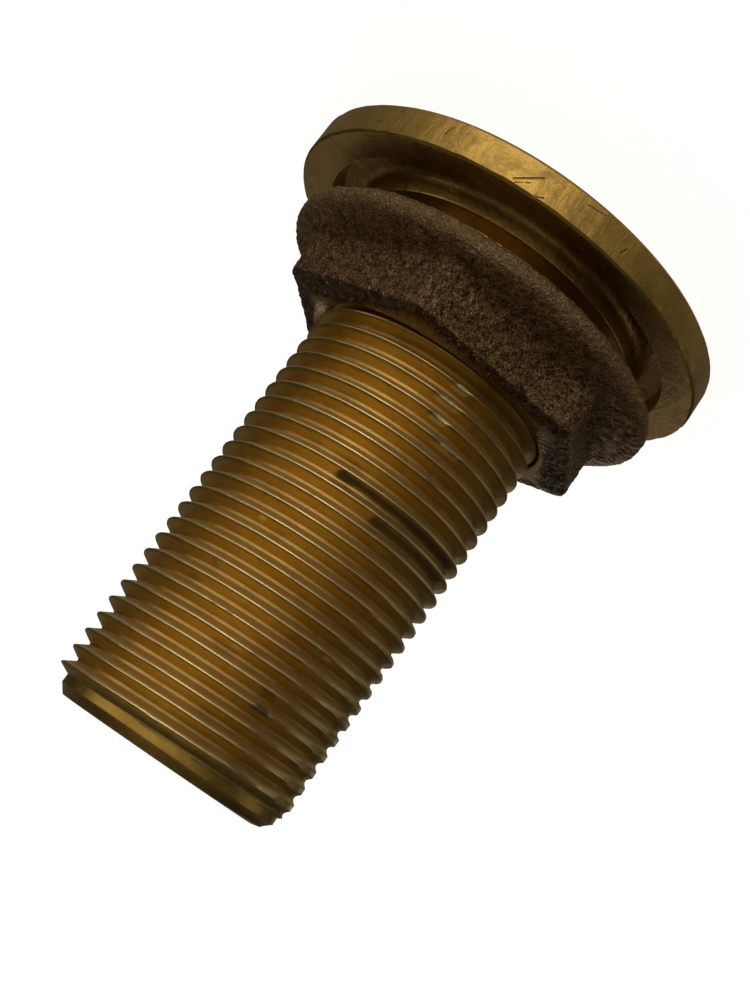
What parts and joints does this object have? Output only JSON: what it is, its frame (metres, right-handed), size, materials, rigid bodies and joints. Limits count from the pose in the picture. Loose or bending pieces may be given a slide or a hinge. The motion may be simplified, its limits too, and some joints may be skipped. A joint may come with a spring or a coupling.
{
  "type": "thru hull fitting",
  "caption": "Mushroom-head through-hull fitting with a threaded stem, a bored water passage and a flanged hexagon nut that screws along the stem.",
  "frame": {"origin": "on the stem's axis, in the seating plane of the mushroom head's underside", "axes": "+Z along the stem towards its free threaded end, as the fitting stands when pushed up through a hull bottom; +X and +Y are radial"},
  "size_m": [0.0476, 0.0476, 0.0644],
  "materials": {
    "machined_bronze": "satin",
    "cast_bronze": "rough cast",
    "faced_bronze": "machined"
  },
  "bodies": {
    "fitting": {"fitting_body": "machined_bronze"},
    "nut_lead": {"nut_clamping_face": "faced_bronze"},
    "nut_turning": {"nut": "cast_bronze"}
  },
  "joints": [
    {"name": "nut_travel", "type": "slide", "parent": "fitting", "child": "nut_lead", "axis": [0, 0, 1], "range_m": [-0.0031, 0.0446]},
    {"name": "nut_turn", "type": "hinge", "parent": "nut_lead", "child": "nut_turning", "pos_m": [0, 0, 0.008], "axis": [0, 0, 1], "range_deg": [-600, 8800]}
  ],
  "couplings": [
    {"joint": "nut_travel", "follows": "nut_turn", "m_per_rad": 0.00028875}
  ]
}
